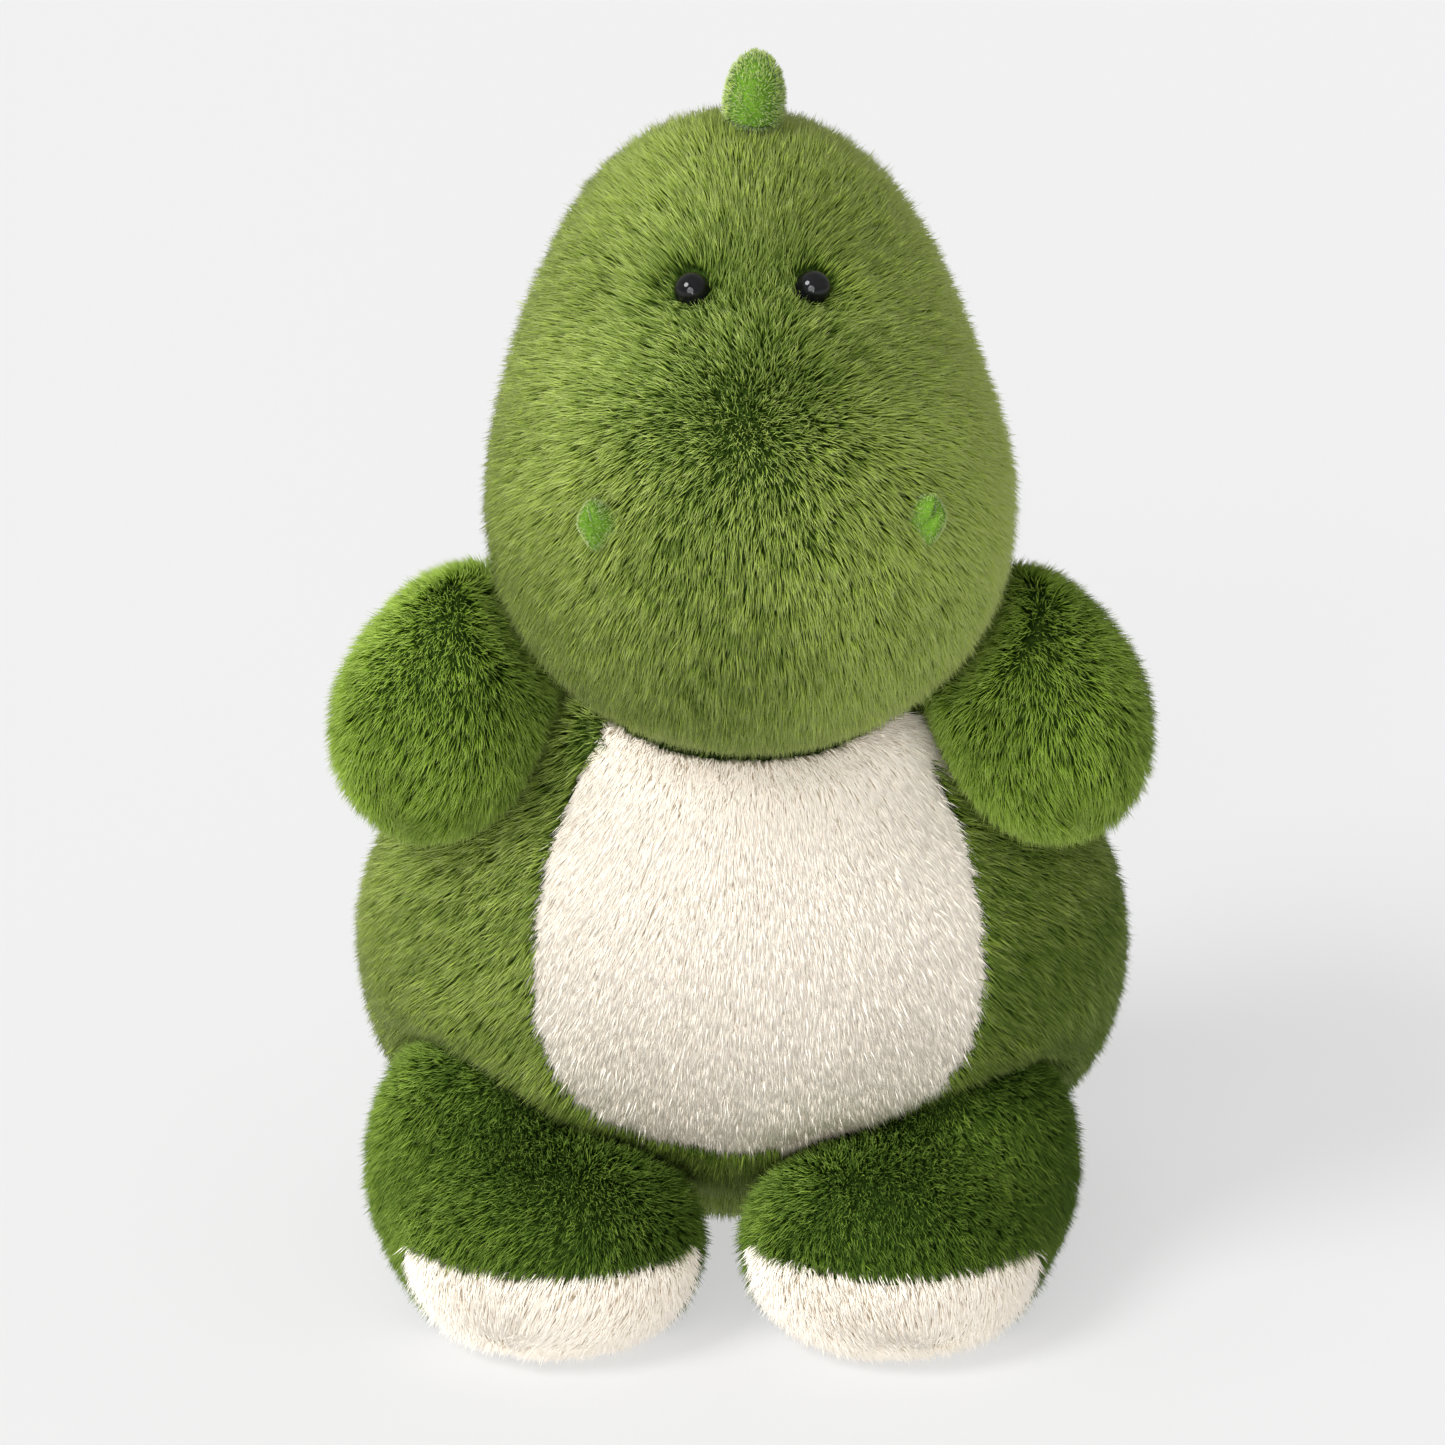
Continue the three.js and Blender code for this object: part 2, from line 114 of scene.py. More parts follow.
def make_floor():
    mesh = bpy.data.meshes.new("studio_floor")
    corners = [(x * FLOOR_HALF, y * FLOOR_HALF, 0) for x, y in ((-1, -1), (1, -1), (1, 1), (-1, 1))]
    mesh.from_pydata(corners, [], [(0, 1, 2, 3)])
    floor = bpy.data.objects.new("studio_floor", mesh)
    bpy.context.scene.collection.objects.link(floor)
    material, shader = new_material("studio_paper", roughness=0.9, specular=0.1)
    shader.inputs["Base Color"].default_value = (*[FLOOR_ALBEDO] * 3, 1)
    shader.inputs["Emission Color"].default_value = (1, 1, 1, 1)
    shader.inputs["Emission Strength"].default_value = FLOOR_GLOW
    mesh.materials.append(material)


def add_sun(name, direction, strength, angle, color=(1, 1, 1)):
    """A far lamp whose light arrives from the given direction."""
    data = bpy.data.lights.new(name, "SUN")
    data.energy = strength
    data.angle = math.radians(angle)
    data.color = color
    lamp = bpy.data.objects.new(name, data)
    lamp.rotation_euler = Vector(direction).to_track_quat("Z", "Y").to_euler()
    bpy.context.scene.collection.objects.link(lamp)


def add_softbox(name, place, size, power):
    data = bpy.data.lights.new(name, "AREA")
    data.shape = "RECTANGLE"
    data.size, data.size_y = size
    data.energy = power
    lamp = bpy.data.objects.new(name, data)
    lamp.location = place
    aim = Vector(place) - Vector(CAMERA_TARGET)
    lamp.rotation_euler = aim.to_track_quat("Z", "Y").to_euler()
    bpy.context.scene.collection.objects.link(lamp)


def make_light():
    scene = bpy.context.scene
    scene.view_settings.view_transform = "Standard"
    world = bpy.data.worlds.new("studio")
    world.use_nodes = True
    background = world.node_tree.nodes["Background"]
    background.inputs["Color"].default_value = ROOM_GREY
    background.inputs["Strength"].default_value = ROOM_STRENGTH
    seen = world.node_tree.nodes.new("ShaderNodeBackground")
    seen.inputs["Color"].default_value = ROOM_GREY
    path = world.node_tree.nodes.new("ShaderNodeLightPath")
    mix = world.node_tree.nodes.new("ShaderNodeMixShader")
    output = world.node_tree.nodes["World Output"]
    link = world.node_tree.links.new
    link(path.outputs["Is Camera Ray"], mix.inputs["Fac"])
    link(background.outputs[0], mix.inputs[1])
    link(seen.outputs[0], mix.inputs[2])
    link(mix.outputs[0], output.inputs["Surface"])
    scene.world = world
    add_sun("key", (-0.66, -0.50, 0.78), 2.8, 26)
    add_sun("front", (-0.20, -0.92, 0.22), 1.9, 40)
    add_softbox("window_left", (-0.55, -1.6, 1.15), (0.30, 0.40), 1.6)
    add_softbox("window_low", (0.05, -1.7, 0.20), (0.22, 0.22), 1.5)


# ---------------------------------------------------------------- materials

def new_material(name, roughness, specular=0.5, sheen=0.0, coat=0.0):
    material = bpy.data.materials.new(name)
    material.use_nodes = True
    shader = material.node_tree.nodes["Principled BSDF"]
    shader.inputs["Roughness"].default_value = roughness
    shader.inputs["Specular IOR Level"].default_value = specular
    shader.inputs["Sheen Weight"].default_value = sheen
    shader.inputs["Coat Weight"].default_value = coat
    return material, shader


def ramp_node(tree, stops):
    ramp = tree.nodes.new("ShaderNodeValToRGB")
    elements = ramp.color_ramp.elements
    while len(elements) < len(stops):
        elements.new(0.5)
    for element, (position, color) in zip(elements, stops):
        element.position = position
        element.color = (*color, 1)
    return ramp


def mix_color(tree, factor, first, second):
    mix = tree.nodes.new("ShaderNodeMix")
    mix.data_type = "RGBA"
    tree.links.new(factor, mix.inputs[0])
    tree.links.new(first, mix.inputs[6])
    tree.links.new(second, mix.inputs[7])
    return mix.outputs[2]


def pile_material(name, dull, bright, sheen=0.0, glow=0.0):
    """Pile: v runs from root to tip, and u from dull fibres to bright ones; the shade functions use u for the
    fibres' own tone and for painted light and shade.
    The glow is painted light: emission that stands for the light that pale fibres pass on to one another."""
    material, shader = new_material(name, roughness=0.65, specular=0.18, sheen=sheen)
    shader.inputs["Emission Color"].default_value = (1.0, 0.88, 0.72, 1)
    shader.inputs["Emission Strength"].default_value = glow
    tree = material.node_tree
    uv = tree.nodes.new("ShaderNodeUVMap")
    uv.uv_map = "OFBake"
    split = tree.nodes.new("ShaderNodeSeparateXYZ")
    tree.links.new(uv.outputs[0], split.inputs[0])
    ramps = []
    for stops in (dull, bright):
        ramp = ramp_node(tree, stops)
        tree.links.new(split.outputs["Y"], ramp.inputs[0])
        ramps.append(ramp.outputs[0])
    color = mix_color(tree, split.outputs["X"], *ramps)
    tree.links.new(color, shader.inputs["Base Color"])
    return material


def cloth_material(name, dark, light, scale=900.0):
    """Knitted backing: two close shades in a fine grain."""
    material, shader = new_material(name, roughness=0.9, specular=0.15)
    tree = material.node_tree
    place = tree.nodes.new("ShaderNodeNewGeometry")
    noise = tree.nodes.new("ShaderNodeTexNoise")
    noise.inputs["Scale"].default_value = scale
    noise.inputs["Detail"].default_value = 3
    tree.links.new(place.outputs["Position"], noise.inputs["Vector"])
    ramp = ramp_node(tree, [(0.3, dark), (0.7, light)])
    tree.links.new(noise.outputs["Fac"], ramp.inputs[0])
    tree.links.new(ramp.outputs[0], shader.inputs["Base Color"])
    return material


# Root-to-tip ramps: the dark roots are painted shade down in the pile, and the pale tips are a painted
# highlight.
GREEN_DULL = [(0.0, (0.008, 0.022, 0.001)), (0.3, (0.022, 0.056, 0.002)),
              (0.7, (0.060, 0.115, 0.006)), (1.0, (0.125, 0.200, 0.020))]
GREEN_BRIGHT = [(0.0, (0.050, 0.090, 0.004)), (0.3, (0.190, 0.290, 0.018)),
                (0.7, (0.450, 0.570, 0.110)), (1.0, (0.740, 0.810, 0.360))]
# A darker copy of the green ramps for the arms and legs: painted shade.
LIMB_SHADE_DULL = [(0.0, (0.005, 0.018, 0.001)), (0.3, (0.014, 0.042, 0.001)),
             (0.7, (0.036, 0.082, 0.003)), (1.0, (0.080, 0.145, 0.010))]
LIMB_SHADE_BRIGHT = [(0.0, (0.030, 0.072, 0.002)), (0.3, (0.115, 0.220, 0.008)),
               (0.7, (0.290, 0.440, 0.045)), (1.0, (0.540, 0.660, 0.190))]
CREAM_DULL = [(0.0, (0.86, 0.74, 0.57)), (0.4, (0.90, 0.83, 0.72)), (1.0, (0.91, 0.86, 0.79))]
CREAM_BRIGHT = [(0.0, (0.88, 0.80, 0.66)), (0.4, (0.92, 0.87, 0.78)), (1.0, (0.93, 0.89, 0.82))]
LIME_DULL = [(0.0, (0.045, 0.125, 0.004)), (0.5, (0.140, 0.270, 0.014)), (1.0, (0.290, 0.410, 0.050))]
LIME_BRIGHT = [(0.0, (0.120, 0.220, 0.008)), (0.5, (0.330, 0.470, 0.045)), (1.0, (0.640, 0.730, 0.200))]


# ---------------------------------------------------------------- reading the frame

def mesh_arrays(obj):
    """Corner points and triangles of an object's mesh, in the row frame."""
    mesh = obj.data
    mesh.calc_loop_triangles()
    triangles = np.empty(len(mesh.loop_triangles) * 3, dtype=np.int32)
    mesh.loop_triangles.foreach_get("vertices", triangles)
    return mesh_points(mesh), triangles.reshape(-1, 3).astype(np.int64)


def mesh_points(mesh):
    points = np.empty(len(mesh.vertices) * 3)
    mesh.vertices.foreach_get("co", points)
    return points.reshape(-1, 3)


def tree_of(nodes):
    """One search tree over several CAD nodes."""
    points, triangles, start = [], [], 0
    for name in nodes:
        corners, faces = mesh_arrays(NODES[name])
        points.append(corners)
        triangles.append(faces + start)
        start += len(corners)
    return BVHTree.FromPolygons(np.concatenate(points).tolist(), np.concatenate(triangles).tolist())


def box_point(node, x, y, z):
    """The point at those parts of a CAD node's box, from its lowest corner to its highest."""
    low, high = (np.array(corner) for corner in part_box(node))
    return low + (high - low) * np.array([x, y, z])


# ---------------------------------------------------------------- stuffed skins

def unit(vectors):
    return vectors / np.maximum(np.linalg.norm(vectors, axis=-1, keepdims=True), 1e-12)


def bell(distance, width):
    return np.exp(-(distance / width) ** 2)


def smooth_step(value, low, high):
    t = np.clip((value - low) / (high - low), 0, 1)
    return t * t * (3 - 2 * t)


def first_hits(tree, core, directions, far=0.5):
    """How far out of the core the tree's outermost surface lies along each direction."""
    reach = np.zeros(len(directions))
    for i, direction in enumerate(directions):
        start = core + direction * far
        hit = tree.ray_cast(Vector(start), Vector(-direction), far)
        if hit[0] is not None:
            reach[i] = far - hit[3]
    return reach


def neighbour_mean(values, edges, count):
    total = np.zeros_like(values)
    number = np.zeros(count)
    for a, b in ((0, 1), (1, 0)):
        np.add.at(total, edges[:, a], values[edges[:, b]])
        np.add.at(number, edges[:, a], 1)
    return total / (number if values.ndim == 1 else number[:, None])


def inflate(obj, cap):
    """Stuffs the skin: cloth under pressure, held to within the cap of where it started."""
    start, _ = mesh_arrays(obj)
    cloth = obj.modifiers.new("stuffing", "CLOTH")
    settings = cloth.settings
    settings.quality = 6
    settings.use_pressure = True
    settings.uniform_pressure_force = PRESSURE
    settings.effector_weights.gravity = 0
    settings.tension_stiffness = settings.compression_stiffness = CLOTH_STIFFNESS
    cloth.point_cache.frame_start, cloth.point_cache.frame_end = 1, CLOTH_FRAMES
    scene = bpy.context.scene
    for number in range(1, CLOTH_FRAMES + 1):
        scene.frame_set(number)
    posed = obj.evaluated_get(bpy.context.evaluated_depsgraph_get())
    moved, _ = mesh_arrays(posed)
    shift = moved - start
    length = np.linalg.norm(shift, axis=1, keepdims=True)
    shift *= np.minimum(1.0, cap / np.maximum(length, 1e-9))
    obj.modifiers.remove(cloth)
    scene.frame_set(1)
    obj.data.vertices.foreach_set("co", (start + shift).ravel())
    obj.data.update()


def add_object(name, mesh, material):
    obj = bpy.data.objects.new(name, mesh)
    bpy.context.scene.collection.objects.link(obj)
    mesh.materials.append(material)
    return obj


def vertex_normals(mesh):
    normals = np.empty(len(mesh.vertices) * 3)
    mesh.vertex_normals.foreach_get("vector", normals)
    return normals.reshape(-1, 3)


def place_points(mesh, points):
    mesh.vertices.foreach_set("co", np.asarray(points, dtype=np.float64).ravel())
    mesh.update()


def make_skin(name, body, own, material, detail=5, core=(0.5, 0.5, 0.5), also=(), inset=PILE_INSET,
              swell=SWELL_CAP, before=None, after=None, smoothing=6):
    """A stuffed skin just inside the CAD surface of the nodes that it is measured from.
    core is a place in the first node's box, and every point of the skin is seen from there."""
    core = box_point(own, *core)
    form = bmesh.new()
    bmesh.ops.create_icosphere(form, subdivisions=detail, radius=1.0)
    mesh = bpy.data.meshes.new(name)
    form.to_mesh(mesh)
    form.free()
    count = len(mesh.vertices)
    directions = unit(mesh_points(mesh))
    edges = np.empty(len(mesh.edges) * 2, dtype=np.int64)
    mesh.edges.foreach_get("vertices", edges)
    edges = edges.reshape(-1, 2)
    reach = first_hits(tree_of([own, *also]), core, directions)
    for _ in range(smoothing):
        reach = 0.4 * reach + 0.6 * neighbour_mean(reach, edges, count)
    place_points(mesh, core + directions * reach[:, None])
    points = mesh_points(mesh) - vertex_normals(mesh) * inset
    for _ in range(3):
        points = 0.5 * points + 0.5 * neighbour_mean(points, edges, count)
    if before:
        points = before(points)
    points[:, 2] = np.maximum(points[:, 2], 1.5 * SKIN_FLOOR)
    place_points(mesh, points)
    obj = add_object(name, mesh, material)
    inflate(obj, swell)
    if after:
        place_points(mesh, after(mesh_points(mesh), vertex_normals(mesh)))
    points = mesh_points(mesh)
    points[:, 2] = np.maximum(points[:, 2], SKIN_FLOOR)
    place_points(mesh, points)
    mesh.polygons.foreach_set("use_smooth", [True] * len(mesh.polygons))
    subdivide = obj.modifiers.new("smooth", "SUBSURF")
    subdivide.levels = subdivide.render_levels = 1
    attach(obj, body)
    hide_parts(own)
    return obj


def skin_tree(*skins):
    """One search tree over finished skins."""
    points, triangles, start = [], [], 0
    for skin in skins:
        corners, faces = mesh_arrays(skin)
        points.append(corners)
        triangles.append(faces + start)
        start += len(corners)
    return BVHTree.FromPolygons(np.concatenate(points).tolist(), np.concatenate(triangles).tolist())


def panel_over(name, body, node, skin, around, material, lift=0.7 * MM):
    """A sewn-in panel: the part of the skin where the CAD panel lies, with a little thickness."""
    form = bmesh.new()
    form.from_mesh(skin.data)
    bmesh.ops.subdivide_edges(form, edges=form.edges, cuts=1, use_grid_fill=True)
    bmesh.ops.recalc_face_normals(form, faces=form.faces)
    form.normal_update()
    points, normals = (np.array([getattr(v, part) for v in form.verts]) for part in ("co", "normal"))
    inside = on_panel(points, normals, node, around, 0.0)
    bmesh.ops.delete(form, geom=[v for v, keep in zip(form.verts, inside) if not keep], context="VERTS")
    for vert in form.verts:
        vert.co += vert.normal * lift
    mesh = bpy.data.meshes.new(name)
    form.to_mesh(mesh)
    form.free()
    mesh.polygons.foreach_set("use_smooth", [True] * len(mesh.polygons))
    obj = add_object(name, mesh, material)
    thickness = obj.modifiers.new("thickness", "SOLIDIFY")
    thickness.thickness = 0.5 * MM
    thickness.offset = -1
    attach(obj, body)
    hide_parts(node)
    return obj


def make_lump(node, body, material, skin=None, shrink=2.0 * MM, bumps=0.9 * MM, bump_size=7 * MM):
    """Loose filling: the CAD solid, softened, lumpy, and a little smaller than its skin."""
    mesh = NODES[node].data.copy()
    obj = add_object(f"{node}_fibre", mesh, material)
    remesh = obj.modifiers.new("remesh", "REMESH")
    remesh.mode = "VOXEL"
    remesh.voxel_size = 4 * MM
    smooth = obj.modifiers.new("smooth", "SMOOTH")
    smooth.iterations = 6
    finished = bpy.data.meshes.new_from_object(obj.evaluated_get(bpy.context.evaluated_depsgraph_get()))
    obj.modifiers.clear()
    obj.data = finished
    finished.materials.clear()
    finished.materials.append(material)
    points, normals = mesh_points(finished), vertex_normals(finished)
    points = points - normals * (shrink + bumps * wander(points, bump_size, 31)[:, :1])
    if skin is not None:
        tree = skin_tree(skin)
        for i, point in enumerate(map(Vector, points)):
            place, normal, _, _ = tree.find_nearest(point)
            if (point - place).dot(normal) > -2.0 * MM:
                points[i] = place - normal * 2.0 * MM
    place_points(finished, points)
    finished.polygons.foreach_set("use_smooth", [True] * len(finished.polygons))
    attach(obj, body)
    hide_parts(node)
    return obj


# ---------------------------------------------------------------- pile

class Roots:
    """Points spread evenly over a skin, with the way the skin faces there."""

    def __init__(self, obj, per_cm2, seed):
        points, triangles = mesh_arrays(obj)
        normals = vertex_normals(obj.data)
        a, b, c = (points[triangles[:, k]] for k in range(3))
        area = np.linalg.norm(np.cross(b - a, c - a), axis=1) / 2
        random = np.random.default_rng(seed)
        count = int(area.sum() * 1e4 * per_cm2)
        chosen = np.searchsorted(np.cumsum(area) / area.sum(), np.sort(random.random(count)))
        chosen = np.minimum(chosen, len(area) - 1)
        u, v = random.random(count), random.random(count)
        over = u + v > 1
        u[over], v[over] = 1 - u[over], 1 - v[over]
        weights = np.stack([1 - u - v, u, v], axis=1)[:, :, None]
        self.point = (points[triangles[chosen]] * weights).sum(axis=1)
        self.normal = unit((normals[triangles[chosen]] * weights).sum(axis=1))
        self.random = random

    def keep(self, mask):
        self.point, self.normal = self.point[mask], self.normal[mask]


def along_skin(vectors, normals):
    """The part of each vector that lies along the skin."""
    return vectors - (vectors * normals).sum(axis=1, keepdims=True) * normals


def wander(points, scale, seed):
    """A smooth vector field about as large as 1, which changes over the given distance."""
    random = np.random.default_rng(seed)
    field = np.zeros_like(points)
    for _ in range(10):
        wave = random.normal(size=3) / scale
        phase = random.random(3) * 2 * math.pi
        field += np.sin((points @ wave)[:, None] + phase) * unit(random.normal(size=3))
    return field / math.sqrt(5)


def grow_pile(name, body, roots, comb, length, material, width=0.42 * MM, lean=(30, 58), lock=0.24,
              lock_size=2.6 * MM, shade=None, limit=None, rough=1.0, stray=0.10):
    """Pile as tapered strands. comb gives each root's lie and how far it is laid over, from 0 to 1."""
    random = roots.random
    point, normal = roots.point, roots.normal
    count = len(point)
    if count == 0:
        return []
    direction, laid = comb(point, normal)
    direction = direction + rough * (0.22 * wander(point, 9 * MM, 5) + 0.18 * random.normal(size=point.shape))
    direction = unit(along_skin(direction, normal))
    strand = length * (0.78 + 0.3 * random.random(count)) * (1 + 0.06 * wander(point, 12 * MM, 11)[:, 0])
    if limit is not None:
        strand = np.minimum(strand, limit)
    tilt_jitter = random.normal(size=count) * 7 * rough
    tilt_jitter -= np.where(random.random(count) < stray, 26.0, 0.0)

    def heading(angle):
        radians = np.radians(np.clip(angle * laid + tilt_jitter, -10, 84))[:, None]
        return normal * np.cos(radians) + direction * np.sin(radians)

    sway = 0.10 * random.normal(size=point.shape)
    middle = point + unit(heading(lean[0]) + sway * 0.5) * strand[:, None] * RING_SHARE
    tip = middle + unit(heading(lean[1]) + sway) * strand[:, None] * (1 - RING_SHARE)

    # Fibres cling together in locks: each tip is drawn towards the tip of its lock's own fibre.
    lock_area = (lock_size * 100) ** 2
    per_lock = max(2.0, lock_area * count / max(area_of(point), 1e-9))
    leaders = random.choice(count, size=max(1, int(count / per_lock)), replace=False)
    tree = kdtree.KDTree(len(leaders))
    for i, leader in enumerate(leaders):
        tree.insert(point[leader], i)
    tree.balance()
    nearest = leaders[np.fromiter((tree.find(p)[1] for p in point), dtype=np.int64, count=count)]
    pull = (lock * (0.5 + 0.6 * random.random(count)))[:, None]
    drawn_tip = tip[nearest] + (point - point[nearest]) * 0.15
    near = np.linalg.norm(point - point[nearest], axis=1, keepdims=True) < 3 * lock_size
    tip = np.where(near, tip * (1 - pull) + drawn_tip * pull, tip)
    drawn_middle = middle[nearest] + (point - point[nearest]) * 0.7
    middle = np.where(near, middle * (1 - pull * 0.3) + drawn_middle * pull * 0.3, middle)
    middle[:, 2] = np.maximum(middle[:, 2], PILE_FLOOR)
    tip[:, 2] = np.maximum(tip[:, 2], PILE_FLOOR)

    tone = shade(point, normal) if shade else np.full(count, 0.5)
    tone = tone + 0.22 * random.normal(size=count) * 0.8 + 0.10 * wander(point, 16 * MM, 23)[:, 0]
    lock_tone = np.zeros(count)
    lock_tone[leaders] = random.normal(size=len(leaders)) * 0.10
    tone = np.clip(tone + lock_tone[nearest], 0.03, 0.97)
    thickness = width * (0.75 + 0.5 * random.random(count))
    sectors = max(1, math.ceil(count / PIECE_STRANDS))
    order = np.argsort(np.arctan2(point[:, 0] - point[:, 0].mean(), -(point[:, 1] - point[:, 1].mean())))
    made = []
    for number, chosen in enumerate(np.array_split(order, sectors)):
        part = strand_mesh(f"{name}_{number + 1}" if sectors > 1 else name, point[chosen], middle[chosen],
                           tip[chosen], thickness[chosen], tone[chosen], normal[chosen], material)
        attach(part, body)
        made.append(part)
    return made


def area_of(points):
    """Rough area that the points cover, in square centimetres, from the cells they fall in."""
    cell = 4 * MM
    return len(np.unique(np.floor(points / cell).astype(np.int64), axis=0)) * (cell * 100) ** 2 * 0.72


def strand_mesh(name, root, middle, tip, thickness, tone, normal, material):
    """One mesh of closed strands: each a root point, a ring of three part of the way up, and a tip."""
    count = len(root)
    axis = unit(tip - root)
    side = unit(np.cross(axis, normal) + 1e-6)
    other = np.cross(axis, side)
    ring = []
    for k in range(3):
        angle = 2 * math.pi * k / 3
        offset = side * math.cos(angle) + other * math.sin(angle)
        ring.append(middle + offset * (thickness / 2)[:, None])
    points = np.stack([root, *ring, tip], axis=1).reshape(-1, 3)
    pattern = np.array([(0, 2, 1), (0, 3, 2), (0, 1, 3), (4, 1, 2), (4, 2, 3), (4, 3, 1)])
    faces = (np.arange(count)[:, None, None] * 5 + pattern[None]).reshape(-1, 3)
    mesh = bpy.data.meshes.new(name)
    mesh.vertices.add(len(points))
    mesh.vertices.foreach_set("co", points.ravel())
    mesh.loops.add(faces.size)
    mesh.loops.foreach_set("vertex_index", faces.ravel().astype(np.int32))
    mesh.polygons.add(len(faces))
    mesh.polygons.foreach_set("loop_start", np.arange(0, faces.size, 3, dtype=np.int32))
    mesh.polygons.foreach_set("use_smooth", np.ones(len(faces), dtype=bool))
    mesh.update(calc_edges=True)
    across = np.array([0.0, -1.0, 0.0, 1.0, 0.0]) * UV_WIDTH
    up = np.array([0.01, RING_SHARE, RING_SHARE, RING_SHARE, 0.99])
    corner_u = np.clip(tone[:, None] + across[None], 0.005, 0.995)
    corner_v = np.broadcast_to(up, corner_u.shape)
    uv = np.stack([corner_u, corner_v], axis=2).reshape(-1, 2)[faces.ravel()]
    layer = mesh.uv_layers.new(name="OFBake")
    layer.data.foreach_set("uv", uv.astype(np.float32).ravel())
    return add_object(name, mesh, material)


def on_panel(points, normals, panel, around, margin):
    """True for each point under the CAD panel's outside, and at least the margin in from its edge."""
    first, second = tree_of([panel]), tree_of([around])
    outside = points + normals * PILE_INSET
    inside = np.empty(len(points), dtype=bool)
    for i, point in enumerate(map(Vector, outside)):
        distance = first.find_nearest(point)[3]
        inside[i] = distance < PANEL_REACH and distance + margin < second.find_nearest(point)[3]
    return inside


def trim_to_room(roots, obstacles, length, shortest=2.4 * MM):
    """The longest strand that each root has room for, and fewer roots where two pieces lie close together."""
    near = 2.2 * length
    room = np.full(len(roots.point), near)
    starts = roots.point + roots.normal * 0.3 * MM
    for i, start in enumerate(map(Vector, starts)):
        found = obstacles.find_nearest(start, near)
        if found[0] is not None:
            outside = (start - found[0]).dot(found[1]) > 0
            room[i] = found[3] if outside else 0.0
    keep = (room > 1.0 * MM) & ((room > 0.75 * length) | (roots.random.random(len(room)) < 0.6))
    roots.keep(keep)
    return np.clip(room[keep] * 0.85, shortest, None)


def outside_of(roots, pieces):
    """Drops the roots inside the pieces: a ray from a piece's middle, on from such a root, hits it."""
    for piece in pieces:
        tree, middle = skin_tree(piece), mesh_points(piece.data).mean(axis=0)
        reach = np.linalg.norm(mesh_points(piece.data) - middle, axis=1).max()
        away = roots.point - middle
        close = np.linalg.norm(away, axis=1) < reach
        keep = ~close
        for i in np.nonzero(close)[0]:
            hit = tree.ray_cast(Vector(roots.point[i]), Vector(unit(away[i])), reach)
            keep[i] = hit[0] is None
        roots.keep(keep)


# ---------------------------------------------------------------- the lie of the pile

def radial(centre, stand, reach, gravity=0.0, turn=None):
    """Pile that lies away from a point, and stands up near it."""
    def comb(point, normal):
        away = along_skin(point - centre, normal)
        far = np.linalg.norm(point - centre, axis=1)
        direction = away / np.maximum(np.linalg.norm(away, axis=1), 0.7 * reach)[:, None] - gravity * UP
        laid = stand + (1 - stand) * smooth_step(far, 0, reach)
        if turn:
            direction, laid = turn(point, normal, direction, laid)
        return direction, laid
    return comb


def downward(out, half_width, laid=0.95):
    """Pile that lies down the front and sides, and a little outward from the middle."""
    def comb(point, normal):
        direction = np.zeros_like(point)
        direction[:, 0] = out * np.clip(point[:, 0] / half_width, -1, 1)
        direction[:, 2] = -1
        return unit(along_skin(direction, normal)), np.full(len(point), laid)
    return comb


def along(axis, laid=0.9, gravity=0.25):
    axis = np.array(axis)

    def comb(point, normal):
        direction = np.broadcast_to(axis, point.shape) - gravity * UP
        return unit(along_skin(direction, normal)), np.full(len(point), laid)
    return comb


# ---------------------------------------------------------------- small parts

def head_end(node, other):
    """The axis from one CAD node's middle to another's, and how far the first reaches along it."""
    points, others = mesh_points(NODES[node].data), mesh_points(NODES[other].data)
    axis = unit(points.mean(axis=0) - others.mean(axis=0))
    middle = others.mean(axis=0)
    return middle, axis, ((points - middle) @ axis).max()


def lathe(name, profile, place, axis, material, sides=48):
    """A turned part. The profile is radius and height, from top to bottom, with both ends on the axis."""
    form = bmesh.new()
    turn = Vector(axis).to_track_quat("Z", "Y")
    rings = []
    for radius, height in profile:
        if radius < 1e-7:
            rings.append([form.verts.new(turn @ Vector((0, 0, height)) + Vector(place))])
            continue
        angles = [2 * math.pi * k / sides for k in range(sides)]
        rings.append([form.verts.new(turn @ Vector((radius * math.cos(a), radius * math.sin(a), height))
                                     + Vector(place)) for a in angles])
    for upper, lower in zip(rings, rings[1:]):
        for k in range(sides):
            n = (k + 1) % sides
            if len(upper) == 1:
                form.faces.new((upper[0], lower[k], lower[n]))
            elif len(lower) == 1:
                form.faces.new((upper[n], upper[k], lower[0]))
            else:
                form.faces.new((upper[k], lower[k], lower[n], upper[n]))
    bmesh.ops.recalc_face_normals(form, faces=form.faces)
    mesh = bpy.data.meshes.new(name)
    form.to_mesh(mesh)
    form.free()
    mesh.polygons.foreach_set("use_smooth", [True] * len(mesh.polygons))
    return add_object(name, mesh, material)


def eye_material():
    material, shader = new_material("eye_black", roughness=0.05, specular=0.25, coat=0.15)
    shader.inputs["Coat Roughness"].default_value = 0.03
    tree = material.node_tree
    place = tree.nodes.new("ShaderNodeNewGeometry")
    noise = tree.nodes.new("ShaderNodeTexNoise")
    noise.inputs["Scale"].default_value = 500
    tree.links.new(place.outputs["Position"], noise.inputs["Vector"])
    ramp = ramp_node(tree, [(0.3, (0.002, 0.002, 0.0025)), (0.8, (0.007, 0.007, 0.008))])
    tree.links.new(noise.outputs["Fac"], ramp.inputs[0])
    tree.links.new(ramp.outputs[0], shader.inputs["Base Color"])
    return material


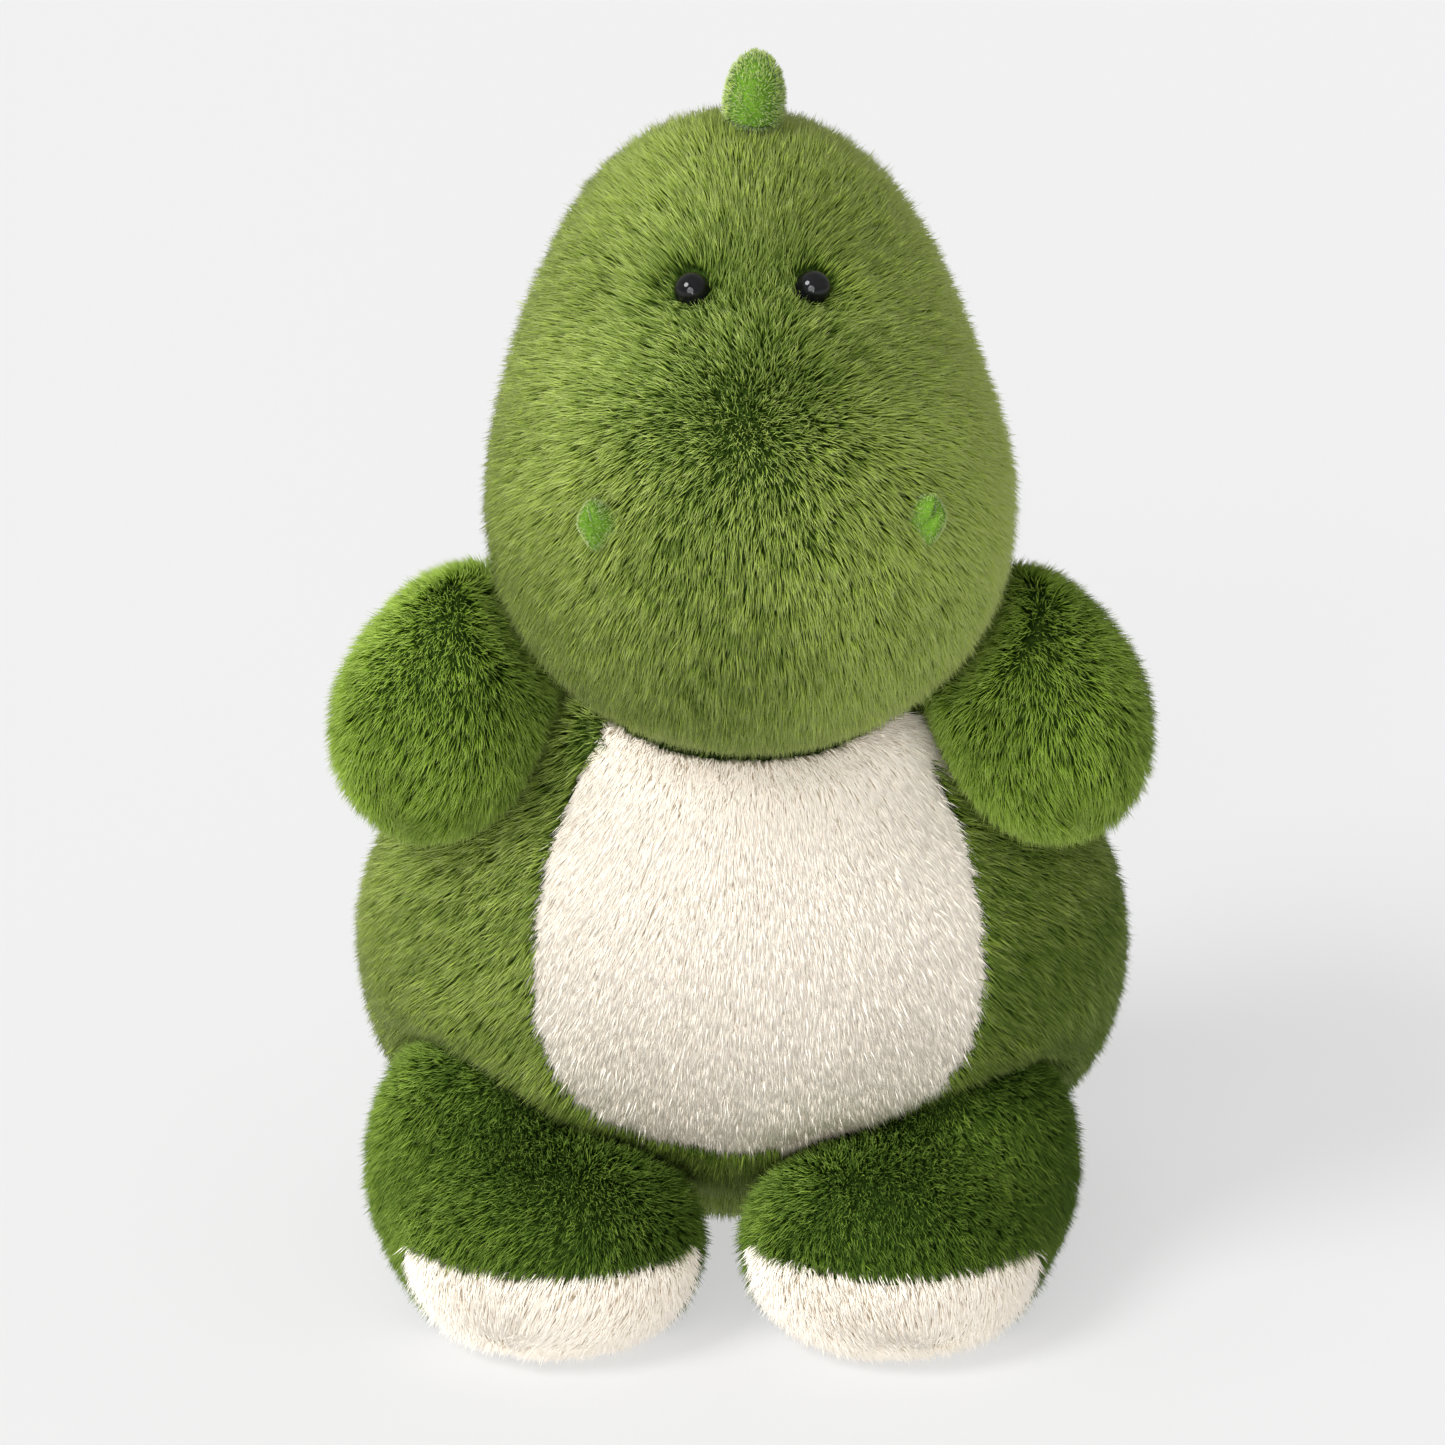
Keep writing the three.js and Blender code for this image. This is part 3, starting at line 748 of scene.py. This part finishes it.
def washer_material():
    material, shader = new_material("washer_plastic", roughness=0.35, specular=0.5)
    tree = material.node_tree
    place = tree.nodes.new("ShaderNodeNewGeometry")
    noise = tree.nodes.new("ShaderNodeTexNoise")
    noise.inputs["Scale"].default_value = 300
    tree.links.new(place.outputs["Position"], noise.inputs["Vector"])
    ramp = ramp_node(tree, [(0.3, (0.62, 0.64, 0.66)), (0.7, (0.78, 0.80, 0.82))])
    tree.links.new(noise.outputs["Fac"], ramp.inputs[0])
    tree.links.new(ramp.outputs[0], shader.inputs["Base Color"])
    return material


EYE_RADIUS = 5.4 * MM
EYE_SINK = 1.6 * MM         # how much deeper the bead sits in the pile than the CAD dome


def make_eye(side, material):
    """A glossy bead on a short shank, where the CAD eye is."""
    middle, axis, reach = head_end(f"{side}_eye", f"{side}_eye_washer")
    crown = middle + axis * (reach - EYE_SINK)
    profile = [(EYE_RADIUS * math.sin(math.radians(a)), -EYE_RADIUS * (1 - math.cos(math.radians(a))))
               for a in range(0, 121, 5)]
    shank = 1.9 * MM
    profile += [(shank, -8.9 * MM), (shank, -(reach - EYE_SINK) + 1 * MM), (shank * 0.8, -(reach - EYE_SINK)),
                (0, -(reach - EYE_SINK))]
    bead = lathe(f"{side}_eye_bead", profile, crown, axis, material)
    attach(bead, "head")
    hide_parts(f"{side}_eye")
    return crown - axis * 3 * MM, axis


def seam_ridge(height, width):
    """A sewn ridge all round a pod, on the plane that halves it from side to side."""
    def shape(points, normals):
        across = points[:, 0] - points[:, 0].mean()
        ridge = bell(across, width) - 0.5 * bell(across, 3 * width)
        return points + normals * (height * ridge)[:, None]
    return shape


def petal_places(points, side):
    """How far out from the snout's middle and how far up each point of a nostril lies, from -1 to 1."""
    middle = points.mean(axis=0)
    half = (points.max(axis=0) - points.min(axis=0)) / 2
    local = (points - middle) / half
    return local[:, 0] * SIDES[side], local[:, 2], -local[:, 1]


def from_crease(out, up):
    """How far a point lies to one side of the nostril's crease."""
    return 0.62 * out - 0.78 * up + 0.10


def petal_fold(side):
    """A nostril's fold: its inner edge is sunk in the pile, and a crease runs in from its outer edge."""
    def shape(points, normals):
        out, up, forward = petal_places(points, side)
        points = points - np.outer(out * np.abs(up) ** 1.5 * 2.6 * MM, [SIDES[side], 0, 0])
        crease = bell(from_crease(out, up), 0.24)
        crease = crease * smooth_step(forward, -0.3, 0.4) * smooth_step(out, -1.2, 0.7)
        sunk = smooth_step(-out, -0.25, 1.0)
        inward = np.array([-0.5 * SIDES[side], 0.86, 0.0])
        return points - normals * (2.3 * MM * crease)[:, None] + inward * (3.4 * MM * sunk)[:, None]
    return shape


def petal_shade(side):
    """Pale along the outer rim, and painted shade, deep green, in the fold."""
    def shade(point, normal):
        out, up, _ = petal_places(point, side)
        rim = smooth_step(out + 0.25 * np.abs(up), 0.35, 0.95)
        return 0.52 + 0.48 * rim - 0.50 * bell(from_crease(out, up), 0.26)
    return shade


def soft_spine(name, body, material, pile, seed):
    """A padded spine of short-pile cloth with a seam round its middle."""
    skin = make_skin(f"{name}_pod", body, name, material, detail=5, inset=1.1 * MM, swell=0.8 * MM,
                     after=seam_ridge(0.45 * MM, 0.8 * MM), smoothing=2)
    low, high = (np.array(corner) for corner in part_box(name))
    roots = Roots(skin, density(STRANDS["spine"]), seed)
    # The pod's pile tone is painted light: paler on top and where the pod faces sideways, like lit rims.
    grow_pile(f"{name}_pile", body, roots, radial((low + high) / 2 - UP * 0.01, 0.25, 0.03),
              SPINE_PILE_LENGTH, pile, width=0.26 * MM, lean=(20, 45), lock=0.3, lock_size=1.4 * MM,
              shade=lambda point, normal: 0.40 + 0.22 * normal[:, 2] + 0.20 * np.abs(normal[:, 0]))
    return skin


def density(per_cm2):
    return per_cm2 * 1.0


def strand_width(width):
    return width * 1.0


# ---------------------------------------------------------------- the toy

make_camera()
make_floor()
make_light()

backing = cloth_material("green_backing", (0.020, 0.045, 0.004), (0.050, 0.100, 0.010))
cream_backing = cloth_material("cream_backing", (0.82, 0.72, 0.57), (0.92, 0.84, 0.72))
minky_backing = cloth_material("minky_backing", (0.070, 0.165, 0.010), (0.130, 0.260, 0.022))
fibre = cloth_material("polyester_fibre", (0.70, 0.70, 0.68), (0.88, 0.88, 0.86), scale=400)
bean_cloth = cloth_material("bean_cloth", (0.55, 0.52, 0.46), (0.72, 0.69, 0.62), scale=700)
green_pile = pile_material("green_pile", GREEN_DULL, GREEN_BRIGHT)
# A darker copy of the green pile for the arms and legs, for painted shade.
limb_shade_pile = pile_material("limb_shade_green_pile", LIMB_SHADE_DULL, LIMB_SHADE_BRIGHT)
# The cream pile's glow is painted light.
cream_pile = pile_material("cream_pile", CREAM_DULL, CREAM_BRIGHT, glow=0.09)
lime_pile = pile_material("lime_pile", LIME_DULL, LIME_BRIGHT, sheen=0.6)
washer = washer_material()
for side in SIDES:
    NODES[f"{side}_eye_washer"].data.materials.clear()
    NODES[f"{side}_eye_washer"].data.materials.append(washer)

eye_black = eye_material()
eyes = {side: make_eye(side, eye_black) for side in SIDES}
between_eyes = (eyes["left"][0] + eyes["right"][0]) / 2


def eye_seats(points):
    """The head's skin comes out a little where each eye's washer lies under it."""
    moved = points.copy()
    for place, axis in eyes.values():
        moved += axis * (3.2 * MM * bell(np.linalg.norm(points - place, axis=1), 13 * MM))[:, None]
    return moved


body = make_skin("body_skin", "body", "body_cloth", backing, detail=6, core=(0.5, 0.5, 0.45),
                 also=["belly_panel", "body_filling"])
head = make_skin("head_skin", "head", "head_cloth", backing, detail=6, core=(0.5, 0.5, 0.42),
                 also=["head_filling"], before=eye_seats)
arms = {side: make_skin(f"{side}_arm_skin", f"{side}_arm", f"{side}_arm_cloth", backing,
                        also=[f"{side}_arm_filling"]) for side in SIDES}
legs = {side: make_skin(f"{side}_leg_skin", f"{side}_leg", f"{side}_leg_cloth", backing,
                        core=(0.5, 0.55, 0.4), also=[f"{side}_toe_cap", f"{side}_leg_filling"])
        for side in SIDES}
tail = make_skin("tail_skin", "tail", "tail_cloth", backing, core=(0.5, 0.4, 0.45), also=["tail_filling"])

belly = panel_over("belly_backing", "body", "belly_panel", body, "body_cloth", cream_backing)
for side in SIDES:
    cap = panel_over(f"{side}_toe_cap_backing", f"{side}_leg", f"{side}_toe_cap", legs[side],
                     f"{side}_leg_cloth", cream_backing)

# Filling.
make_lump("head_filling", "head", fibre, head)
make_lump("body_filling", "body", fibre, body)
make_lump("tail_filling", "tail", fibre, tail)
neck = make_lump("neck_wad", "neck", fibre, shrink=0.8 * MM, bumps=0.5 * MM)
make_lump("bean_bag", "body", bean_cloth, shrink=0.6 * MM, bumps=0.6 * MM, bump_size=3.5 * MM)
for side in SIDES:
    make_lump(f"{side}_arm_filling", f"{side}_arm", fibre, arms[side])
    make_lump(f"{side}_leg_filling", f"{side}_leg", fibre, legs[side])

# Spines.
SPINES = {"body": ["back_spine_upper", "back_spine_middle", "back_spine_lower"],
          "head": ["crown_spine", "head_spine_middle", "head_spine_rear"],
          "tail": ["tail_spine_root", "tail_spine_middle", "tail_spine_tip"]}
pods = {body_name: [soft_spine(name, body_name, minky_backing, lime_pile, 60 + number)
                    for number, name in enumerate(names)] for body_name, names in SPINES.items()}

# Nostrils.
nostrils = {}
for number, side in enumerate(SIDES):
    nostril = make_skin(f"{side}_nostril_petal", "head", f"{side}_nostril", minky_backing, detail=5,
                        inset=0.9 * MM, swell=0.5 * MM, after=petal_fold(side), smoothing=2)
    nostrils[side] = nostril
    middle = mesh_points(nostril.data).mean(axis=0)
    roots = Roots(nostril, density(STRANDS["nostril"]), 80 + number)
    grow_pile(f"{side}_nostril_pile", "head", roots, radial(middle, 0.4, 0.01),
              NOSTRIL_PILE_LENGTH, lime_pile, width=0.22 * MM, lean=(20, 45), lock=0.3, lock_size=1.2 * MM,
              shade=petal_shade(side))

# Pile.
skins = {"body": body, "head": head, "tail": tail}
for side in SIDES:
    skins[f"{side}_arm"] = arms[side]
    skins[f"{side}_leg"] = legs[side]
NEIGHBOURS = {"body": ["head", "left_arm", "right_arm", "left_leg", "right_leg", "tail"],
              "head": ["body", "left_arm", "right_arm"],
              "tail": ["body", "left_leg", "right_leg"]}
for side in SIDES:
    NEIGHBOURS[f"{side}_arm"] = ["body", "head"]
    NEIGHBOURS[f"{side}_leg"] = ["body", "tail"]
GREEN_WIDTH = strand_width(0.36 * MM)
CREAM_WIDTH = strand_width(0.46 * MM)


def start_roots(skin, body_name, per_cm2, seed, length, sunk=()):
    roots = Roots(skin, density(per_cm2), seed)
    outside_of(roots, sunk)
    limit = trim_to_room(roots, skin_tree(*[skins[name] for name in NEIGHBOURS[body_name]]), length)
    return roots, limit


def split_roots(roots, limit, mask):
    """Two sets of roots, with their lengths: those in the mask and the rest."""
    sets = []
    for chosen in (mask, ~mask):
        part = object.__new__(Roots)
        part.point, part.normal, part.random = roots.point[chosen], roots.normal[chosen], roots.random
        sets.append((part, limit[chosen]))
    return sets


def head_turn(point, normal, direction, laid):
    """Round each eye the pile lies away from it."""
    for place, _ in eyes.values():
        away = point - place
        near = bell(np.linalg.norm(away, axis=1), 9 * MM)[:, None]
        direction = direction + 1.5 * near * unit(along_skin(away, normal))
        laid = np.maximum(laid, 0.9 * near[:, 0])
    return direction, laid


def head_length(roots, limit):
    """The pile is short round the eyes, and full length from there on."""
    for place, _ in eyes.values():
        away = np.linalg.norm(roots.point - place, axis=1)
        limit = np.minimum(limit, PILE_LENGTH * (0.45 + 0.75 * smooth_step(away, 5 * MM, 17 * MM)))
    return limit


def head_tone_and_painted_light(point, normal):
    """Pile tone with painted light and shade: paler on the cheeks, where the skin faces sideways or back,
    most on the +x side (the toy's left), and over the crown; painted shade is deepest on top of the snout, in
    the hollows round the eyes and below the snout's middle.
    """
    # painted light, by which way the skin faces
    tone = 0.64 + 0.08 * normal[:, 1] + 0.10 * np.abs(normal[:, 0]) + 0.32 * np.maximum(normal[:, 0], 0)
    # painted light over the crown
    tone += 0.20 * smooth_step(point[:, 2] - whorl[2], 0.02, 0.05)
    # painted shade on top of the snout, round the whorl
    tone -= 0.38 * bell(np.linalg.norm(point - whorl, axis=1), 46 * MM)
    # painted shade in the hollows round the eyes
    for place, _ in eyes.values():
        tone -= 0.26 * bell(np.linalg.norm(point - place, axis=1), 11 * MM)
    # painted shade below the snout's middle
    return tone - 0.10 * smooth_step(whorl[2] - point[:, 2], 0.02, 0.09)


whorl = between_eyes + np.array([1, -16, -14]) * MM
roots, limit = start_roots(head, "head", STRANDS["head"], 1, PILE_LENGTH, [*pods["head"], *nostrils.values()])
far_enough = np.ones(len(roots.point), dtype=bool)
for place, axis in eyes.values():
    offset = roots.point - place
    from_axis = np.linalg.norm(offset - (offset @ axis)[:, None] * axis, axis=1)
    far_enough &= (from_axis > 4.6 * MM) | (np.abs(offset @ axis) > 15 * MM)
roots.keep(far_enough)
limit = head_length(roots, limit[far_enough])
comb = radial(whorl, 0.35, 72 * MM, gravity=0.30, turn=head_turn)
grow_pile("head_pile", "head", roots, comb, PILE_LENGTH, green_pile, width=GREEN_WIDTH,
          limit=limit, shade=head_tone_and_painted_light)

roots, limit = start_roots(body, "body", STRANDS["body"], 2, PILE_LENGTH, pods["body"])
cream = on_panel(roots.point, roots.normal, "belly_panel", "body_cloth", 2.5 * MM)
(belly_roots, belly_limit), (green_roots, green_limit) = split_roots(roots, limit, cream)
# The body pile's tone is painted shade: darker on its +x side (the toy's left), which the key light reaches
# less.
grow_pile("body_pile", "body", green_roots, downward(0.75, 0.06), PILE_LENGTH, green_pile,
          width=GREEN_WIDTH, limit=green_limit, shade=lambda point, normal: 0.35 - 0.19 * normal[:, 0])
belly_comb = downward(0.40, 0.06, 1.0)
grow_pile("belly_pile", "body", belly_roots, belly_comb, PILE_LENGTH, cream_pile,
          width=CREAM_WIDTH, limit=belly_limit, lean=(60, 78), lock=0.10, rough=0.4, stray=0.02)

roots, limit = start_roots(body, "body", STRANDS["belly_underpile"], 4, PILE_LENGTH)
cream = on_panel(roots.point, roots.normal, "belly_panel", "body_cloth", 2.5 * MM)
(belly_roots, belly_limit), _ = split_roots(roots, limit, cream)
grow_pile("belly_underpile", "body", belly_roots, belly_comb, 0.9 * PILE_LENGTH, cream_pile,
          width=CREAM_WIDTH, limit=belly_limit, lean=(60, 78), lock=0.0, rough=0.4, stray=0.0)

for number, side in enumerate(SIDES):
    roots, limit = start_roots(arms[side], f"{side}_arm", STRANDS["arm"], 10 + number, PILE_LENGTH)
    comb = along((0.25 * SIDES[side], -0.80, -0.45), laid=0.85)
    # Painted shade: the arm pile is a little darker on its +x side.
    grow_pile(f"{side}_arm_pile", f"{side}_arm", roots, comb, PILE_LENGTH, limb_shade_pile,
              width=GREEN_WIDTH, limit=limit, shade=lambda point, normal: 0.62 - 0.05 * normal[:, 0])

    roots, limit = start_roots(legs[side], f"{side}_leg", STRANDS["leg"], 20 + number, PILE_LENGTH)
    cream = on_panel(roots.point, roots.normal, f"{side}_toe_cap", f"{side}_leg_cloth", -2.0 * MM)
    (cap_roots, cap_limit), (green_roots, green_limit) = split_roots(roots, limit, cream)
    comb = along((0.25 * SIDES[side], -1.0, -0.25))
    # Painted shade: the leg pile is darker still on its +x side.
    grow_pile(f"{side}_leg_pile", f"{side}_leg", green_roots, comb, PILE_LENGTH, limb_shade_pile,
              width=GREEN_WIDTH, limit=green_limit, shade=lambda point, normal: 0.16 - 0.06 * normal[:, 0])
    grow_pile(f"{side}_toe_cap_pile", f"{side}_leg", cap_roots, comb, PILE_LENGTH, cream_pile,
              width=CREAM_WIDTH, limit=cap_limit, lean=(40, 66), lock=0.16, rough=0.7, stray=0.06)

# The plush round the neck, which shows only when the head is raised.
roots = Roots(neck, density(STRANDS["neck"]), 5)
roots.keep(np.abs(roots.normal[:, 2]) < 0.8)
grow_pile("neck_pile", "neck", roots, along((0, 0, -1)), NECK_PILE_LENGTH, green_pile,
          width=GREEN_WIDTH, lean=(50, 75), shade=lambda point, normal: np.full(len(point), 0.3))

roots, limit = start_roots(tail, "tail", STRANDS["tail"], 3, PILE_LENGTH, pods["tail"])
# Painted light: the tail pile is paler where it faces up.
grow_pile("tail_pile", "tail", roots, along((0, 1, 0)), PILE_LENGTH, green_pile,
          width=GREEN_WIDTH, limit=limit, shade=lambda point, normal: 0.42 + 0.08 * normal[:, 2])
